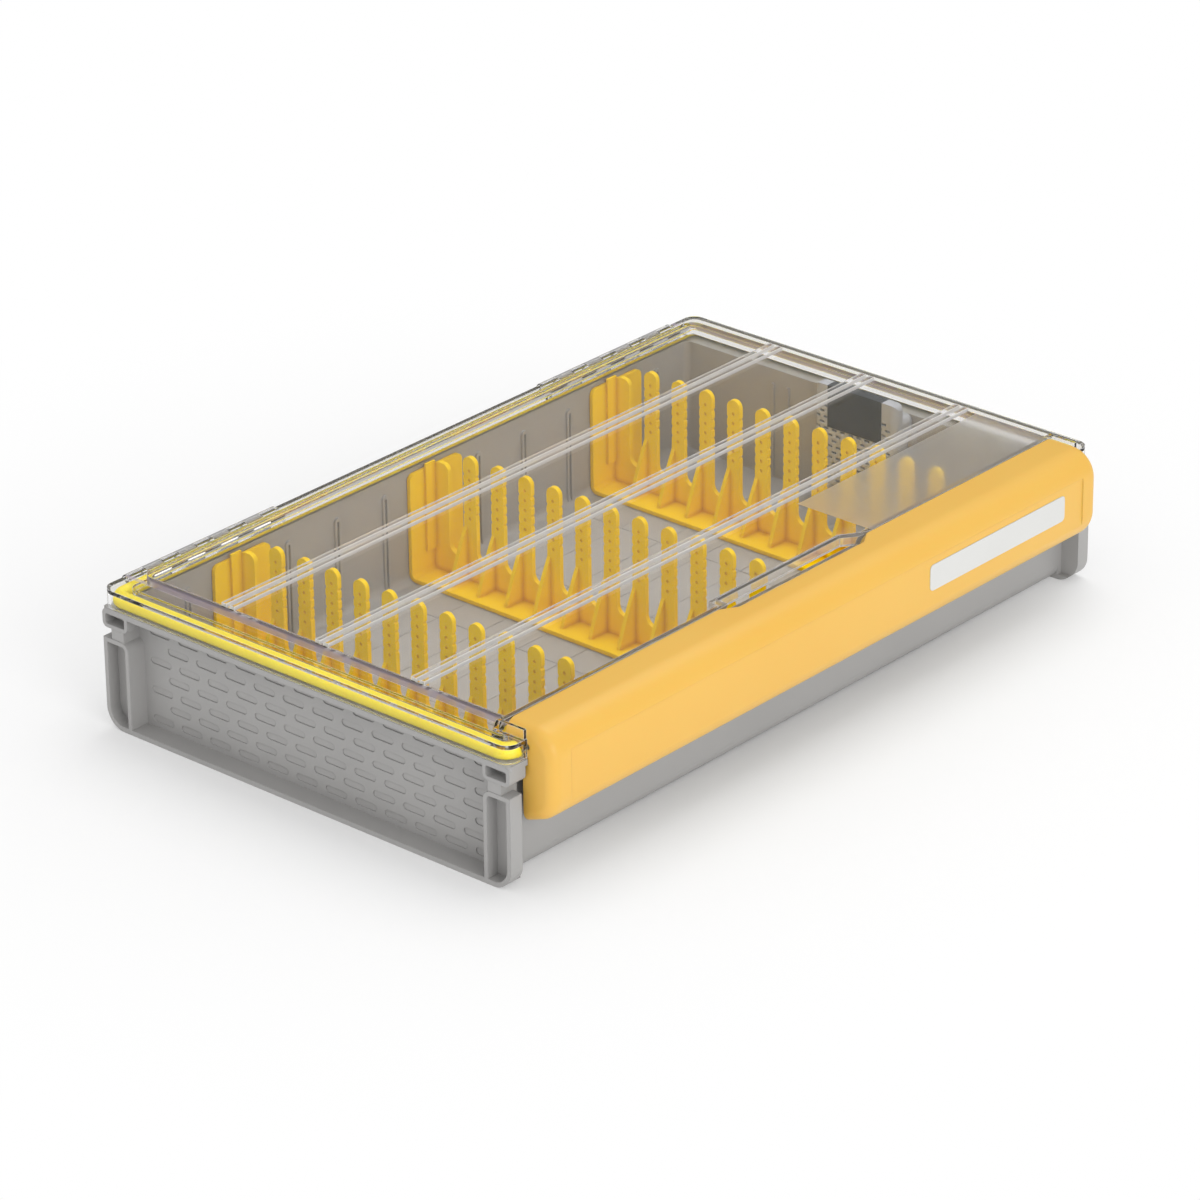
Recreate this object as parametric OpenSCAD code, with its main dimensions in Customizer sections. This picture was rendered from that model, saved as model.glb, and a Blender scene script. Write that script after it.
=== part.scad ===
// Clear-lidded tackle box for spinnerbaits: ribbed tray, hinged lid with a tube gasket,
// full-width latch bar, three comb dividers and a perforated drying divider.
// Millimetres, +Z up. +X runs along the box, -Y is the latch side, +Y the hinge side.
// The origin is on the ground, in the middle of the box's overall length and depth.

/* [Box] */
// Length over the rim
box_l = 365; // [345:1:385]
// Depth over the rim, without latch and hinge
box_d = 219; // [210:1:230]
// Height of the rim's top face above the ground
rim_z = 53.6; // [51:0.1:58]
// Thickness of the rim plate
rim_t = 2.5; // [2:0.1:3]
// Thickness of the tray's walls
wall_t = 2.5; // [2:0.1:2.8]
// Thickness of the tray's floor
floor_t = 2.2; // [1.8:0.1:3]
// Radius along the tray's lower front and back edges
tub_r = 6.5; // [5.5:0.5:8]
// How far the end panels stand back from the rim's ends
end_in = 9; // [8:0.5:10]
// How far the front wall stands back from the rim
front_in = 8.7; // [8:0.1:9.4]
// How far the back wall stands back from the rim
back_in = 3.5; // [3:0.1:4]
// Thickness of the ledge under each end panel
ledge_t = 2.3; // [1.8:0.1:3]

/* [Corner posts] */
// Width of a corner post along the depth
post_w = 13.9; // [12:0.1:15]
// Height of a corner post
post_h = 40.4; // [36:0.1:42]
// Radius of a corner post's lower outer corner
post_r = 9.5; // [7:0.5:12]
// Wall around a post's pocket
post_t = 2; // [1.6:0.1:2.5]
// How far a corner post's outer face reaches from the end
post_x = 6.8; // [6.2:0.1:8]
// Depth of the pockets in the posts and rim boxes
pocket_d = 5.6; // [4:0.1:5.8]
// Height of the box section that hangs under each rim corner
box_end_h = 6.1; // [5.5:0.1:7]
// How far the neck between post and rim box stands back
neck_in = 4.6; // [3:0.1:6]

/* [End panel pattern] */
// Length of one stadium
stad_l = 11.4; // [8:0.1:12]
// Height of one stadium
stad_h = 3; // [2.4:0.1:3.6]
// Depth of a pressed stadium
stad_deep = 0.4; // [0.3:0.05:0.6]
// Number of rows
stad_rows = 7; // [4:1:7]
// Spacing of the rows
stad_step = 6.5; // [5:0.1:6.5]
// Number of stadiums in a full row
stad_cols = 12; // [6:1:12]

/* [Lid] */
// Height of the lid's edge, from its lower face to its flange
lid_edge_h = 8.1; // [7.6:0.1:9]
// Thickness of the skirt around the lid
skirt_t = 1.4; // [1.2:0.1:1.5]
// Thickness of the flange and the raised panel
lid_t = 2.3; // [2:0.1:2.4]
// Rise of the raised panel above the flange
step_h = 4; // [3.6:0.1:4.4]
// Width of the flange at the ends
flange_x = 13; // [12:0.5:15]
// Width of the flange at the hinge side
flange_y = 9.8; // [9.5:0.1:12]
// Corner radius of the lid in plan
lid_r = 5.5; // [4:0.5:6.5]
// Height of the double ribs on the lid
lid_rib_h = 1.6; // [1:0.1:2.4]
// Spacing of the double ribs
lid_rib_step = 51; // [40:0.5:54]
// Width of one bar of a double rib
lid_rib_w = 2.5; // [2:0.1:3]
// Gap between the bars of a double rib
lid_rib_gap = 2; // [1.5:0.1:3]
// Length of the finger notch along its back edge
notch_l = 78; // [60:1:90]
// Depth of the finger notch behind the latch
notch_d = 7; // [5:0.1:8]
// Where the finger notch begins, from the left rim edge
notch_x = 143; // [135:1:150]

/* [Gasket] */
// Diameter of the tube gasket
gasket_d = 5.5; // [5:0.1:5.5]
// Width of the flat strip under the latch
strip_w = 4.2; // [3.6:0.1:4.6]
// Thickness of the flat strip under the latch
strip_t = 1; // [0.8:0.05:1.1]

/* [Hinge] */
// Diameter of the hinge pins
hinge_pin_d = 2.4; // [2:0.1:2.4]
// Outside diameter of the hinge knuckles
knuckle_d = 5.2; // [4.8:0.1:5.2]
// Spacing of the lid's knuckles
knuckle_pitch = 19; // [17:0.5:20]
// Number of lid knuckles in each hinge
knuckle_n = 5; // [3:1:5]
// Distance of each hinge from the end of the box
hinge_x = 15; // [13:1:25]

/* [Latch] */
// Gap from the end of the box to the end of the latch
latch_in = 11; // [11:0.5:14]
// How far the latch stands out in front of the rim
latch_out = 12.5; // [12:0.1:13]
// Height of the latch bar
latch_h = 41.8; // [40:0.1:44]
// Thickness of the latch bar's shell
latch_t = 2.2; // [1.8:0.1:2.5]
// Radius of the latch bar's upper edge
latch_r_top = 12; // [10:0.5:12.5]
// Radius of the latch bar's lower edge
latch_r_low = 13; // [11:0.5:13.5]
// Diameter of the latch pins
latch_pin_d = 2.4; // [2:0.1:2.6]
// Length of a latch pin
latch_pin_l = 10; // [9.4:0.1:11]
// Reach of the catch under the rim's lip
catch_reach = 1.4; // [1:0.1:1.6]
// Width of the blank label on the latch
label_w = 90; // [70:1:100]
// Height of the blank label on the latch
label_h = 11.5; // [9:0.1:13]
// Distance of the label from the right end of the box
label_in = 34; // [28:1:60]

/* [Comb dividers] */
// Number of free teeth on a comb
tooth_n = 11; // [8:1:12]
// Width of a tooth
tooth_w = 7; // [6.4:0.1:8]
// Height of the teeth above the rim
tooth_up = 7.7; // [6:0.1:7.8]
// Thickness of the comb's upright sheet
sheet_t = 2.2; // [1.6:0.1:2.6]
// Thickness of the comb's base and end plates
comb_t = 1.8; // [1.4:0.1:2]
// Reach of the comb's base to the gusset side
base_near = 15.4; // [14:0.1:16]
// Reach of the comb's base to the plain side
base_far = 17; // [15:0.1:18]
// Height of the slots' round ends above the ground
slot_z = 14; // [12:0.1:18]
// Height of the gussets above the ground
gusset_z = 29; // [24:0.5:30]

/* [Drying divider] */
// Width of the drying divider along the box's depth
dry_w = 44.6; // [40:0.1:48]
// Thickness of the drying divider
dry_t = 11.6; // [10:0.1:13]
// Height of the drying divider's top above the rim
dry_up = 7.4; // [6:0.1:7.6]
// Wall of the drying divider's housing
dry_wall = 1.4; // [1.2:0.1:1.6]

/* [Fits] */
// Clearance between seated plastic pieces
seat_gap = 0.3; // [0.25:0.01:0.35]
// Radial clearance of the pins in their bores
pin_fit = 0.05; // [0.02:0.01:0.08]

/* [Hidden] */
$fn = 48;
grey = [0.62, 0.615, 0.61];
clear = [0.9, 0.92, 0.93, 0.35];
amber = [0.98, 0.77, 0.36];
comb_yellow = [0.98, 0.75, 0.18];
gasket_yellow = [0.93, 0.85, 0.24];
steel = [0.72, 0.72, 0.74];
white = [0.94, 0.94, 0.93];
pale_blue = [0.72, 0.75, 0.78];
charcoal = [0.24, 0.26, 0.26];
bead_grey = [0.85, 0.84, 0.8];

over = 1;
merge = 0.2;

// Walls of the tray
front_y = front_in;
back_y = box_d - back_in;
in_y0 = front_y + wall_t;
in_y1 = back_y - wall_t;
in_x0 = end_in + wall_t;
in_x1 = box_l - in_x0;
in_r = tub_r - wall_t;
cavity_r = 3;
rim_corner = 2;
lip_y = 3.6;
lip_gap = 0.5;
lip_x = latch_in - lip_gap;
post_round = 4;
rim_box_z = rim_z - rim_t - box_end_h;
box_round = 2.5;
rim_box_t = 1.7;

// Guide ribs on the inside of the front and back walls
comb_pitch = (in_x1 - in_x0) * share(0.34);
guide_pitch = comb_pitch / 4;
guide_w = 3.4;
guide_slot = 1.2;
guide_proud = 1;
guide_down = 6.6;
guide_top = rim_z - guide_down;
guide_keep = 18;
comb_shift = 4.8;
end_rib_back = 44.5;
end_rib_y = box_d / 2 + end_rib_back;
end_rib_gap = 8.4;
end_rib_w = 1.3;
end_rib_t = 0.9;
comb_x = [for (i = [-1 : 1]) box_l / 2 + comb_shift + i * comb_pitch];
guide_x = [for (i = [-8 : 8]) box_l / 2 + comb_shift + i * guide_pitch];

// Levels of the lid
lid_z = rim_z + seat_gap;
flange_z = lid_z + lid_edge_h;
panel_z = flange_z + step_h;
lid_front = 0.3;
wall_lid = 2;
rib_in = 7.2;
rib_t = 1.3;
rib_drop = 2.1;
notch_wall_up = 0.8;
notch_floor_down = 1.5;
lid_rib_y = [for (i = [-1 : 1]) box_d / 2 + i * lid_rib_step];

// Latch pivot, and the round room that the lid leaves the latch
pivot_y = 0.7;
pivot_up = 4.4;
pivot_z = lid_z + pivot_up;
latch_x0 = latch_in;
latch_x1 = box_l - latch_in;
latch_back = 11;
latch_proud = 0.5;
latch_top = panel_z + latch_proud;
latch_low = latch_top - latch_h;
latch_mid = 3.1;
sweep_r = 13.7;
bay_x0 = latch_x0 - seat_gap;
bay_x1 = latch_x1 + seat_gap;
shelf_y = 3.9;
shelf_up = 1.8;
shelf_z = lid_z + shelf_up;
web_t = 0.9;
ledge_y = 11.9;
ledge_z = pivot_z;
ledge_t_lid = 1.2;
ledge_low = ledge_z - ledge_t_lid;
front_t = 2.2;
ear_t = 4;
ear_r = 3.2;
end_wall = 2.5;
ear_gap = 0.4;
ear_x = latch_x0 + end_wall + ear_gap;

// Latch bar's section
top_cy = latch_r_top - latch_out;
top_cz = latch_top - latch_r_top;
low_cy = latch_r_low - latch_out;
slope = 20.3;
low_steps = 12;
low_cz = latch_low + latch_r_low * cos(slope) + (latch_mid - low_cy + latch_r_low * sin(slope)) * tan(slope);
catch_z = rim_z - rim_t - seat_gap;
catch_h = 2.2;
rail_t = 2;
rail_h = 9;
rail_low = catch_z - rail_h;
rail_down = 1.6;
rail_top = rim_z - rail_down;
back_up = 0.9;
back_in_y = 2.7;
crook_in = 0.8;
crook_up = 1;
crook_lift = 0.05;
crook_down = 1.5;
latch_rib_t = 1.8;
latch_rib_n = 6;
panel_in = 10.5;
panel_deep = 0.5;
panel_down = 9.2;
panel_z0 = latch_low;
panel_z1 = latch_top - panel_down;
plan_r = 6;
scoop_d = 4.5;
label_t = 0.3;
label_x = box_l - label_in - label_w;
label_z = 42.6;
label_r = 2;

// Hinge
hinge_out = 0.9;
hinge_down = 2.9;
hinge_y = box_d + hinge_out;
hinge_z = flange_z - hinge_down;
knuckle_w = (knuckle_pitch - 2 * seat_gap) / 2;
hinge_l = (knuckle_n - 1) * knuckle_pitch + knuckle_w;
arm_in = 1;
arm_out = 2.4;
arm_down = 4.6;
arm_y0 = box_d - arm_in;
arm_y1 = box_d + arm_out;
arm_z = rim_z - arm_down;
pin_short = 0.6;

// Gasket
gasket_r = gasket_d / 2;
gasket_gap = 0.05;
gasket_in = skirt_t + gasket_r + gasket_gap;
gasket_z = lid_z + gasket_r;
bend_r = 4.2;
strip_y = 5.2;

// Combs
comb_r = in_r - seat_gap;
tooth_r = tooth_w / 2;
end_tooth = 7.2;
tooth_pitch = (in_y1 - in_y0 - 2 * end_tooth) / (tooth_n + 1);
tooth_y = [for (i = [0 : tooth_n - 1]) in_y0 + end_tooth + (i + 1) * tooth_pitch];
tooth_z = rim_z + tooth_up;
slot_r = (tooth_pitch - tooth_w) / 2;
plate_down = 1.9;
stub_up = 0.5;
plate_z = rim_z - plate_down;
stub_z = rim_z + stub_up;
stub_r = 3.4;
plate_r = 3;
plate_y = in_y0 + seat_gap + comb_t;
ridge_x = 6.6;
ridge_up = 0.8;
ridge_z = rim_z + ridge_up;
ridge_front_down = 1;
ridge_front_z = rim_z - ridge_front_down;
ridge_t = 1.2;
gusset_t = 1.8;
gusset_in = 3.9;
gusset_steps = 6;
gusset_bulge = 0.6;
dimple_r = 0.75;
dimple_deep = 0.5;
dimple_step = 4.4;
dimple_n = 6;
nick_r = 0.9;
nick_out = 0.45;
nick_down = 8.5;
nick_n = 5;

// Drying divider
dry_x1 = in_x1 - seat_gap;
dry_x0 = dry_x1 - dry_t;
dry_before = 23.5;
dry_y0 = box_d / 2 - dry_before;
dry_y1 = dry_y0 + dry_w;
dry_z0 = floor_t + seat_gap;
dry_z1 = rim_z + dry_up;
dry_round = 3;
cover_t = 1.4;
dry_step_in = 6.8;
dry_step_down = 6;
dry_step_x = in_x1 - dry_step_in;
dry_step_z = flange_z - lid_t - dry_step_down;
slit_l = 2.7;
slit_h = 1;
slit_px = 4.5;
slit_pz = 2.6;
slit_rows = 18;
slit_cols = 9;
slit_up = 4;
slit_z = dry_z0 + slit_up;
tag_t = 0.25;
tag_in = 7.6;
tag_down = 11.9;
tag_z = rim_z - tag_down;
pack_gap = 0.5;
pack_h = 46;
rail_x = 3.5;
rail_w = 1.8;
dry_rail_down = 8;
dry_rail_z = rim_z - dry_rail_down;
dry_side = 0.5;

function share(s) = s;
function low_line(y, t) =
    low_cz - (latch_r_low - t) * cos(slope) - (y - low_cy + (latch_r_low - t) * sin(slope)) * tan(slope);

// Moves the drawing, which starts at the rim's front left corner, to the origin.
module place() {
    translate([-box_l / 2, -(hinge_y + knuckle_d / 2 - latch_out) / 2, 0])
        children();
}

// Draws a (y, z) section along X.
module along_x(x0, x1) {
    translate([x0, 0, 0])
        rotate([90, 0, 90])
            linear_extrude(x1 - x0)
                children();
}

// Draws an (x, z) section along Y.
module along_y(y0, y1) {
    translate([0, y1, 0])
        rotate([90, 0, 0])
            linear_extrude(y1 - y0)
                children();
}

// Draws an (x, y) section along Z.
module along_z(z0, z1) {
    translate([0, 0, z0])
        linear_extrude(z1 - z0)
            children();
}

module rect(a0, b0, a1, b1) {
    translate([a0, b0])
        square([a1 - a0, b1 - b0]);
}

module disc(a, b, r) {
    translate([a, b])
        circle(r);
}

module round_rect(a0, b0, a1, b1, r) {
    rect(a0 + r, b0, a1 - r, b1);
    rect(a0, b0 + r, a1, b1 - r);
    for (a = [a0 + r, a1 - r], b = [b0 + r, b1 - r])
        disc(a, b, r);
}

// A bar with half-round ends.
module pill(a0, b0, a1, b1) {
    r = (b1 - b0) / 2;
    rect(a0 + r, b0, a1 - r, b1);
    for (a = [a0 + r, a1 - r])
        disc(a, b0 + r, r);
}

// A rectangle whose two lower corners are round.
module tub(a0, a1, b0, b1, r) {
    rect(a0 + r, b0, a1 - r, b1);
    rect(a0, b0 + r, a1, b1);
    disc(a0 + r, b0 + r, r);
    disc(a1 - r, b0 + r, r);
}

module both_ends() {
    children();
    translate([box_l, 0, 0])
        mirror([1, 0, 0])
            children();
}

module both_sides(mid) {
    children();
    translate([0, 2 * mid, 0])
        mirror([0, 1, 0])
            children();
}

// Section of a corner post; inset 0 is its outside.
module post_section(inset) {
    intersection() {
        tub(inset, box_d - inset, inset, post_h - inset, post_r - inset);
        round_rect(-post_w, -post_h, post_w - inset, post_h - inset, post_round - inset);
    }
}

module end_corner() {
    difference() {
        union() {
            along_x(0, post_x)
                post_section(0);
            along_x(0, end_in + merge)
                intersection() {
                    post_section(0);
                    rect(front_y, -over, post_w + over, rim_z);
                }
            along_x(0, end_in + merge)
                round_rect(0, rim_box_z, post_w, rim_z - merge, box_round);
            along_x(merge, end_in + merge)
                rect(neck_in, post_h - neck_in, post_w - box_round, rim_box_z + box_round);
        }
        along_x(-over, pocket_d)
            post_section(post_t);
        along_x(-over, pocket_d)
            round_rect(rim_box_t, rim_box_z + rim_box_t, post_w - rim_box_t, rim_z - rim_t, rim_box_t / 2);
    }
}

// Rows of pressed stadiums; every second row is one shorter and stands between.
module end_pattern() {
    pitch_y = (box_d - 2 * post_w) / stad_cols;
    for (row = [0 : stad_rows - 1]) {
        z = ledge_t + stad_step * (row + share(0.36));
        for (col = [0 : stad_cols - 1 - row % 2]) {
            y = post_w + pitch_y * (col + share(0.06) + row % 2 * share(0.38));
            along_x(end_in - over, end_in + stad_deep)
                pill(y, z, y + stad_l, z + stad_h);
        }
    }
}

// Two thin ribs with a slot between them that locate a divider.
module guide(x) {
    difference() {
        along_y(in_y1 - guide_proud, in_y1 + merge) {
            rect(x - guide_w / 2, floor_t - over, x + guide_w / 2, guide_top - guide_w / 2);
            disc(x, guide_top - guide_w / 2, guide_w / 2);
        }
        along_y(in_y1 - guide_proud - over, in_y1 + 2 * merge)
            rect(x - guide_slot / 2, floor_t - 2 * over, x + guide_slot / 2, guide_top - guide_w / 2);
    }
}

module hinge_line(x0, x1, r) {
    translate([x0, hinge_y, hinge_z])
        rotate([0, 90, 0])
            cylinder(h = x1 - x0, r = r);
}

module latch_line(x0, x1, r) {
    translate([x0, pivot_y, pivot_z])
        rotate([0, 90, 0])
            cylinder(h = x1 - x0, r = r);
}

function lid_knuckle(i) = hinge_x + i * knuckle_pitch;
function tray_knuckle(i) = hinge_x + i * knuckle_pitch + knuckle_w + seat_gap;

module tray_knuckles() {
    for (i = [0 : knuckle_n - 2]) {
        x = tray_knuckle(i);
        hinge_line(x, x + knuckle_w, knuckle_d / 2);
        along_x(x, x + knuckle_w)
            polygon([[arm_y0, arm_z + rim_t], [arm_y1, arm_z + rim_t + merge], [arm_y1, hinge_z],
                [arm_y0, hinge_z]]);
        along_x(x, x + knuckle_w)
            polygon([[back_y - merge, arm_z - rim_t], [arm_y1, arm_z + rim_t + merge],
                [arm_y0, rim_z - merge], [back_y - merge, rim_z - merge]]);
    }
}

module tray() {
    color(grey)
        place()
            difference() {
                union() {
                    along_x(end_in, box_l - end_in)
                        tub(front_y, back_y, 0, rim_z - merge, tub_r);
                    along_z(rim_z - rim_t, rim_z)
                        difference() {
                            round_rect(0, 0, box_l, box_d, rim_corner);
                            rect(lip_x, -over, box_l - lip_x, lip_y);
                        }
                    both_ends() {
                        both_sides(box_d / 2)
                            end_corner();
                        along_x(0, end_in + merge)
                            intersection() {
                                tub(0, box_d, 0, post_h, post_r);
                                rect(-over, -over, box_d + over, ledge_t);
                            }
                        tray_knuckles();
                    }
                }
                intersection() {
                    along_x(in_x0, in_x1)
                        tub(in_y0, in_y1, floor_t, rim_z + over, in_r);
                    along_z(0, rim_z + 2 * over)
                        round_rect(in_x0, in_y0, in_x1, in_y1, cavity_r);
                }
                both_ends() {
                    end_pattern();
                    hinge_line(hinge_x - over, hinge_x + hinge_l + over, hinge_pin_d / 2 + pin_fit);
                }
            }
    color(grey)
        place() {
            intersection() {
                both_sides((in_y0 + in_y1) / 2)
                    for (x = guide_x)
                        if (min([for (c = comb_x) abs(x - c)]) > guide_keep
                                && x > in_x0 + guide_w && x < in_x1 - guide_w)
                            guide(x);
                along_x(in_x0, in_x1)
                    tub(in_y0 - merge, in_y1 + merge, floor_t - merge, rim_z, in_r);
            }
            for (y = [dry_y0 - dry_side - rail_w, dry_y1 + dry_side])
                translate([in_x1 - rail_x, y, floor_t - merge])
                    cube([rail_x + merge, rail_w, dry_rail_z - floor_t + merge]);
            both_ends()
                both_sides((in_y0 + in_y1) / 2)
                    for (y = [end_rib_y, end_rib_y + end_rib_gap])
                        translate([in_x0 - merge, y, floor_t - merge])
                            cube([end_rib_t + merge, end_rib_w, guide_top - floor_t + merge]);
        }
}

// Room for the latch, in (y, z).
module latch_bay() {
    intersection() {
        disc(pivot_y, pivot_z, sweep_r);
        rect(pivot_y - sweep_r, ledge_z, pivot_y + sweep_r, panel_z + over);
    }
    rect(-sweep_r, lid_z - over, pivot_y, panel_z + over);
    rect(-sweep_r, shelf_z, ledge_y, ledge_z + merge);
    rect(-sweep_r, lid_z - over, shelf_y, shelf_z + merge);
}

// The lid's front wall, ledge and shelf before the latch's room is cut, in (y, z).
module lid_front_section() {
    intersection() {
        disc(pivot_y, pivot_z, sweep_r + front_t);
        rect(pivot_y, ledge_low, pivot_y + sweep_r + front_t, panel_z);
    }
    rect(shelf_y - over, lid_z, in_y0, ledge_z);
    rect(shelf_y, shelf_z - web_t, ledge_y + skirt_t, ledge_z);
}

module lid_ear() {
    along_x(ear_x, ear_x + ear_t) {
        disc(pivot_y, pivot_z, ear_r);
        polygon([[pivot_y, pivot_z + ear_r], [ledge_y + merge, pivot_z], [ledge_y + merge, shelf_z],
            [in_y0, lid_z], [shelf_y, lid_z], [pivot_y, pivot_z - ear_r]]);
    }
}

// Plan of the finger notch; grow widens it for the wall around it.
module notch_plan(grow) {
    polygon([[notch_x - grow, -over], [notch_x - grow, ledge_y + notch_d + grow],
        [notch_x + notch_l + grow / 2, ledge_y + notch_d + grow],
        [notch_x + notch_l + notch_d * share(1.5) + grow, ledge_y],
        [notch_x + notch_l + notch_d * share(1.5) + grow, -over]]);
}

module lid_knuckles() {
    for (i = [0 : knuckle_n - 1]) {
        x = lid_knuckle(i);
        hinge_line(x, x + knuckle_w, knuckle_d / 2);
        along_x(x, x + knuckle_w)
            rect(box_d - skirt_t, hinge_z - knuckle_d / 2, hinge_y, hinge_z + knuckle_d / 2);
    }
}

// Room in the lid for the tray's knuckles and their arms.
module knuckle_room() {
    for (i = [0 : knuckle_n - 2]) {
        x0 = tray_knuckle(i) - seat_gap;
        x1 = x0 + knuckle_w + 2 * seat_gap;
        hinge_line(x0, x1, knuckle_d / 2 + seat_gap);
        along_x(x0, x1)
            rect(box_d - skirt_t - merge, lid_z - over, hinge_y + knuckle_d, hinge_z);
        along_x(x0, x1)
            rect(hinge_y - merge, hinge_z - merge, hinge_y + knuckle_d, flange_z + over);
    }
}

module lid() {
    color(clear)
        place()
            difference() {
                union() {
                    difference() {
                        union() {
                            along_z(lid_z, flange_z)
                                round_rect(0, lid_front, box_l, box_d, lid_r);
                            along_z(flange_z - lid_t, panel_z)
                                round_rect(flange_x, lid_front + flange_y, box_l - flange_x,
                                    box_d - flange_y, lid_r);
                        }
                        along_z(lid_z - over, flange_z - lid_t)
                            round_rect(skirt_t, lid_front + skirt_t, box_l - skirt_t, box_d - skirt_t,
                                lid_r - skirt_t);
                        along_z(lid_z - over, panel_z - lid_t)
                            round_rect(flange_x + wall_lid, ledge_y + skirt_t,
                                box_l - flange_x - wall_lid, box_d - flange_y - wall_lid, lid_r - wall_lid);
                    }
                    along_z(flange_z - lid_t - rib_drop, flange_z - lid_t + merge)
                        difference() {
                            round_rect(rib_in, lid_front + rib_in, box_l - rib_in, box_d - rib_in, lid_r);
                            round_rect(rib_in + rib_t, lid_front + rib_in + rib_t, box_l - rib_in - rib_t,
                                box_d - rib_in - rib_t, lid_r - rib_t);
                        }
                    along_x(bay_x0 - skirt_t, bay_x1 + skirt_t)
                        lid_front_section();
                    along_z(panel_z - lid_t - step_h + notch_wall_up, panel_z)
                        intersection() {
                            notch_plan(wall_lid);
                            rect(0, ledge_y, box_l, box_d);
                        }
                    for (y = lid_rib_y, side = [-1, 1])
                        along_z(panel_z - merge, panel_z + lid_rib_h)
                            rect(flange_x, y + side * (lid_rib_gap + lid_rib_w) / 2 - lid_rib_w / 2,
                                box_l - flange_x, y + side * (lid_rib_gap + lid_rib_w) / 2 + lid_rib_w / 2);
                    both_ends()
                        lid_knuckles();
                }
                along_x(bay_x0, bay_x1)
                    latch_bay();
                along_z(panel_z - step_h - notch_floor_down, panel_z + over)
                    notch_plan(0);
                both_ends() {
                    knuckle_room();
                    hinge_line(hinge_x - over, hinge_x + hinge_l + over, hinge_pin_d / 2 + pin_fit);
                }
                strip_room();
            }
    color(clear)
        place()
            difference() {
                both_ends()
                    lid_ear();
                strip_room();
                latch_line(-over, box_l + over, latch_pin_d / 2 + pin_fit);
            }
}

// Groove in the lid's shelf for the flat strip of the gasket.
module strip_room() {
    along_x(gasket_in, box_l - gasket_in)
        rect(strip_y - merge / 2, lid_z - over, strip_y + strip_w + merge / 2, lid_z + strip_t + merge / 2);
}

module gasket() {
    x0 = gasket_in;
    x1 = box_l - gasket_in;
    y0 = lid_front + gasket_in;
    y1 = box_d - gasket_in;
    color(gasket_yellow)
        place() {
            for (x = [x0, x1])
                translate([x, y0 + bend_r, gasket_z])
                    rotate([-90, 0, 0])
                        cylinder(h = y1 - y0 - 2 * bend_r, r = gasket_r);
            translate([x0 + bend_r, y1, gasket_z])
                rotate([0, 90, 0])
                    cylinder(h = x1 - x0 - 2 * bend_r, r = gasket_r);
            for (turn = [[x0 + bend_r, y0 + bend_r, 180], [x1 - bend_r, y0 + bend_r, 270],
                    [x1 - bend_r, y1 - bend_r, 0], [x0 + bend_r, y1 - bend_r, 90]])
                translate([turn[0], turn[1], gasket_z])
                    rotate([0, 0, turn[2]])
                        rotate_extrude(angle = 90)
                            disc(bend_r, 0, gasket_r);
            along_x(x0 + merge, x1 - merge)
                rect(strip_y, lid_z, strip_y + strip_w, lid_z + strip_t);
        }
}

module hinge_pin_left() {
    color(steel)
        place()
            hinge_line(hinge_x + pin_short, hinge_x + hinge_l - pin_short, hinge_pin_d / 2);
}

module hinge_pin_right() {
    color(steel)
        place()
            hinge_line(box_l - hinge_x - hinge_l + pin_short, box_l - hinge_x - pin_short, hinge_pin_d / 2);
}

// Outside of the latch bar, in (y, z); inset makes the hollow, which is open to the back.
module latch_section(inset) {
    back = inset > 0 ? latch_back + over : latch_back;
    r_top = latch_r_top - inset;
    r_low = latch_r_low - inset;
    intersection() {
        disc(top_cy, top_cz, r_top);
        rect(top_cy - r_top, top_cz, top_cy, top_cz + r_top);
    }
    front = concat([for (i = [0 : low_steps]) let(a = 270 - slope - i * (90 - slope) / low_steps)
        [low_cy + r_low * cos(a), low_cz + r_low * sin(a)]],
        [[top_cy - r_top, top_cz], [top_cy, top_cz + r_top]]);
    if (inset > 0)
        polygon(concat([[back, top_cz + r_top], [back, low_line(back, inset)]], front));
    else
        polygon(concat([[back, latch_top], [back, pivot_z + back_up],
            [back - back_in_y, pivot_z + crook_lift], [latch_mid + seat_gap, pivot_z - crook_down],
            [latch_mid - crook_in, lid_z + crook_up], [latch_mid, rail_top],
            [latch_mid, low_line(latch_mid, 0)]], front));
}

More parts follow.
